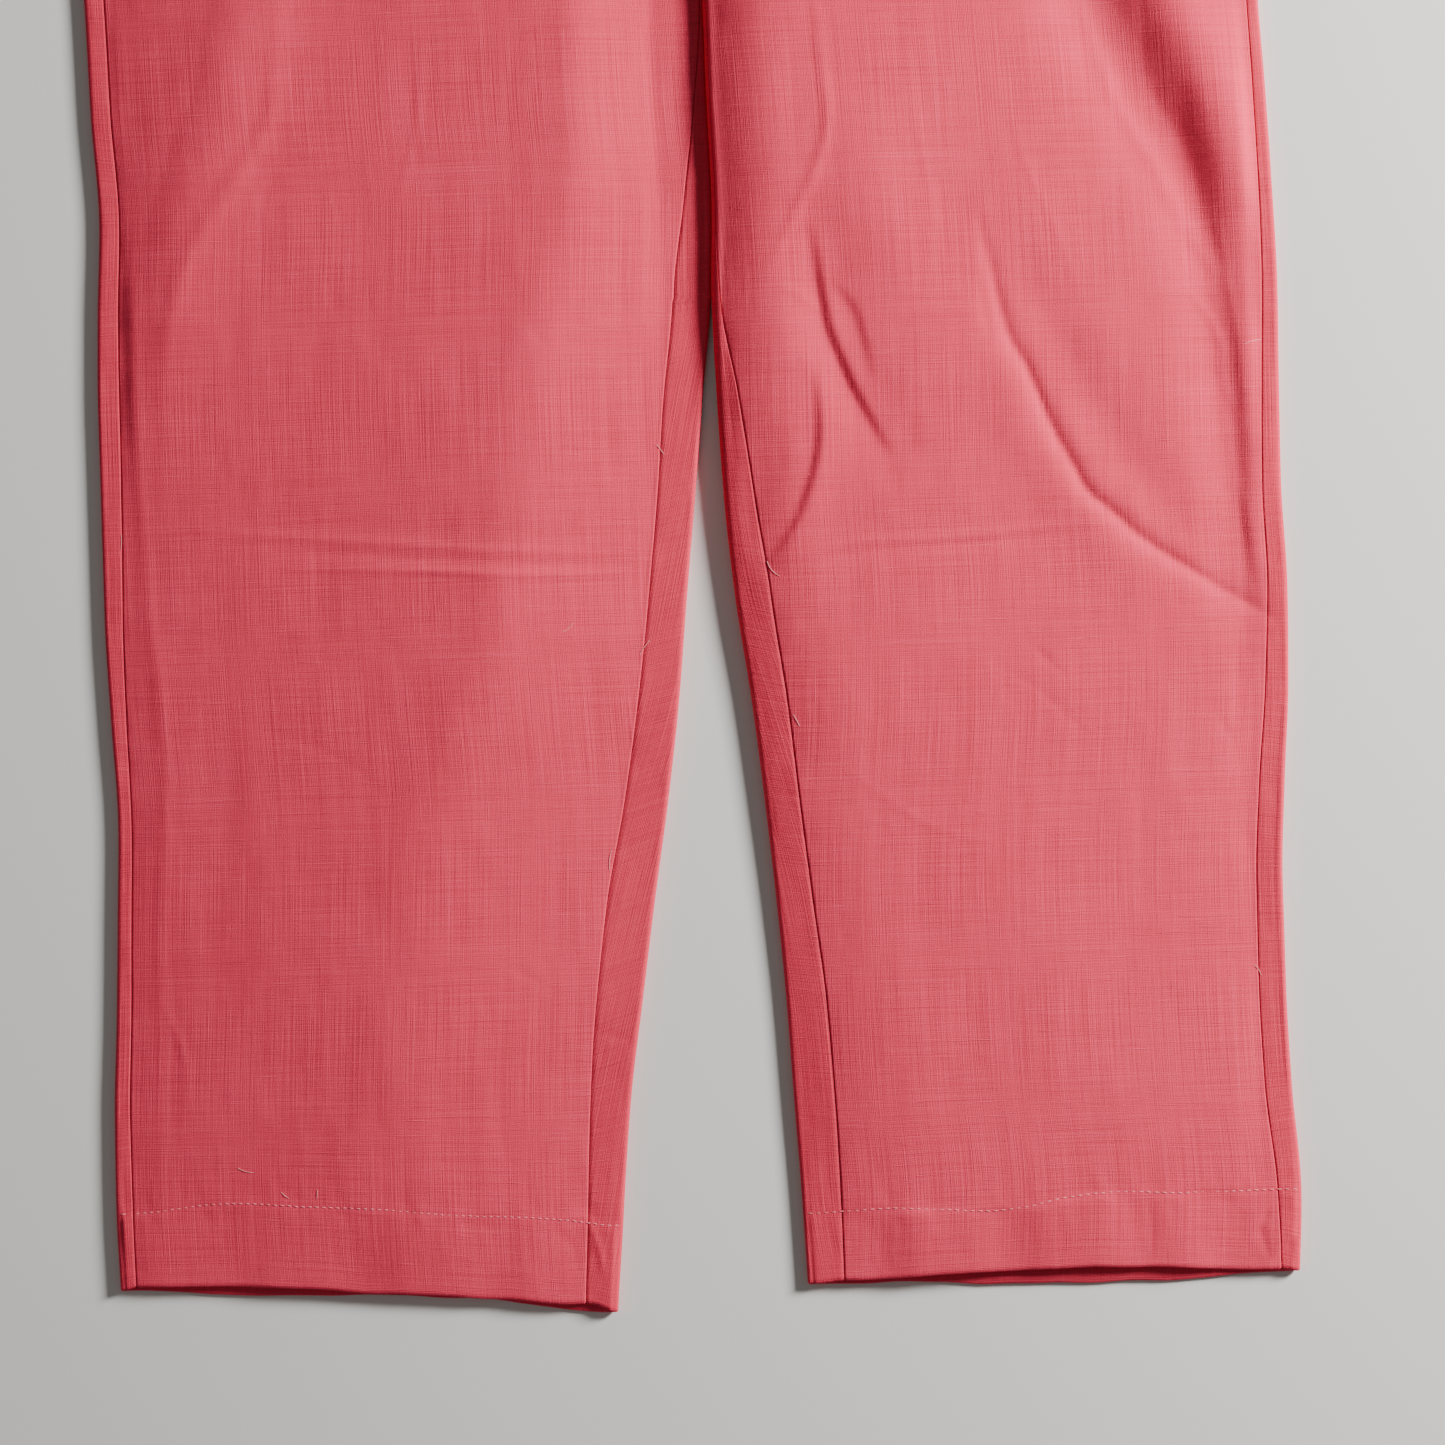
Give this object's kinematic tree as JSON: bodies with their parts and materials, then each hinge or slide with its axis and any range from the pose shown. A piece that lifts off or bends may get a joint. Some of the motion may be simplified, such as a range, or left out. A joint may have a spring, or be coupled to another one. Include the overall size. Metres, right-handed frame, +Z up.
{
  "type": "elasticated trousers",
  "caption": "Loose straight-leg cotton trousers laid flat, with a gathered elastic waistband, turned-up hems and side seams set forward of the folded edges.",
  "frame": {"origin": "on the surface that the trousers lie on, under the middle of their whole outline", "axes": "+X towards the wearer's left leg, +Y from the hems to the waist, +Z up away from the surface"},
  "size_m": [0.4878, 0.9766, 0.0153],
  "materials": {
    "front_cloth": "matt coral pink handloom cotton with uneven slub threads",
    "back_cloth": "matt coral pink handloom cotton with uneven slub threads",
    "waistband_cloth": "matt coral pink handloom cotton, gathered over elastic"
  },
  "bodies": {
    "root": {"front_right_leg": "front_cloth", "back_right_leg": "back_cloth", "front_left_leg": "front_cloth", "back_left_leg": "back_cloth", "waistband_front": "waistband_cloth", "waistband_back": "waistband_cloth"}
  },
  "joints": []
}
